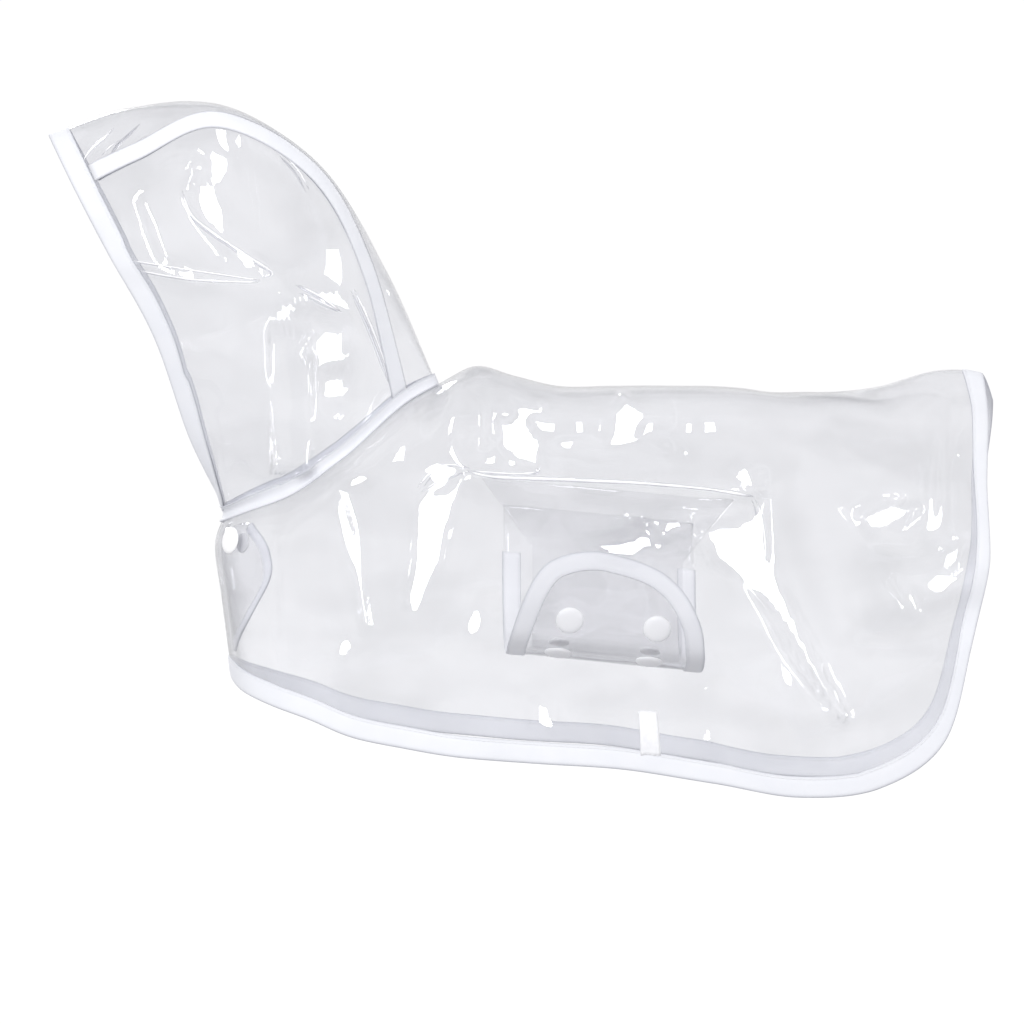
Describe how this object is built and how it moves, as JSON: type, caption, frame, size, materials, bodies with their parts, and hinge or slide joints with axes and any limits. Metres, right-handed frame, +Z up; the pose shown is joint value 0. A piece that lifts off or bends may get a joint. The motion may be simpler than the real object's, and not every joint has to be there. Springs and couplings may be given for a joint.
{
  "type": "dog raincoat",
  "caption": "Clear hooded raincoat for a small dog, worn open below, with white binding, chest snap and a snapped belly strap.",
  "frame": {"origin": "on the centre line of the back's inner face, where the wearer's back carries the coat", "axes": "+X to the tail, +Y to the wearer's right side, +Z up"},
  "size_m": [0.4731, 0.143, 0.3433],
  "materials": {
    "clear_film": "clear glossy soft vinyl",
    "white_tape": "matte woven binding",
    "white_snap": "satin moulded",
    "white_label": "satin ribbon, blank"
  },
  "bodies": {
    "root": {"body_panel": "clear_film", "hood_gusset": "clear_film", "hood_side_near": "clear_film", "hood_side_far": "clear_film", "belly_strap": "clear_film", "belly_tab": "clear_film", "chest_flap": "clear_film", "hood_edge_tape": "white_tape", "crown_tape_near": "white_tape", "crown_tape_far": "white_tape", "neck_tape": "white_tape", "hem_tape": "white_tape", "belly_strap_tape": "white_tape", "chest_flap_tape": "white_tape", "belly_snap_front_upper": "white_snap", "belly_snap_rear_upper": "white_snap", "belly_snap_front_lower": "white_snap", "belly_snap_rear_lower": "white_snap", "chest_snap": "white_snap", "belly_snap_front_upper_socket": "white_snap", "belly_snap_rear_upper_socket": "white_snap", "belly_snap_front_lower_socket": "white_snap", "belly_snap_rear_lower_socket": "white_snap", "chest_snap_socket": "white_snap", "hem_label": "white_label"}
  },
  "joints": []
}
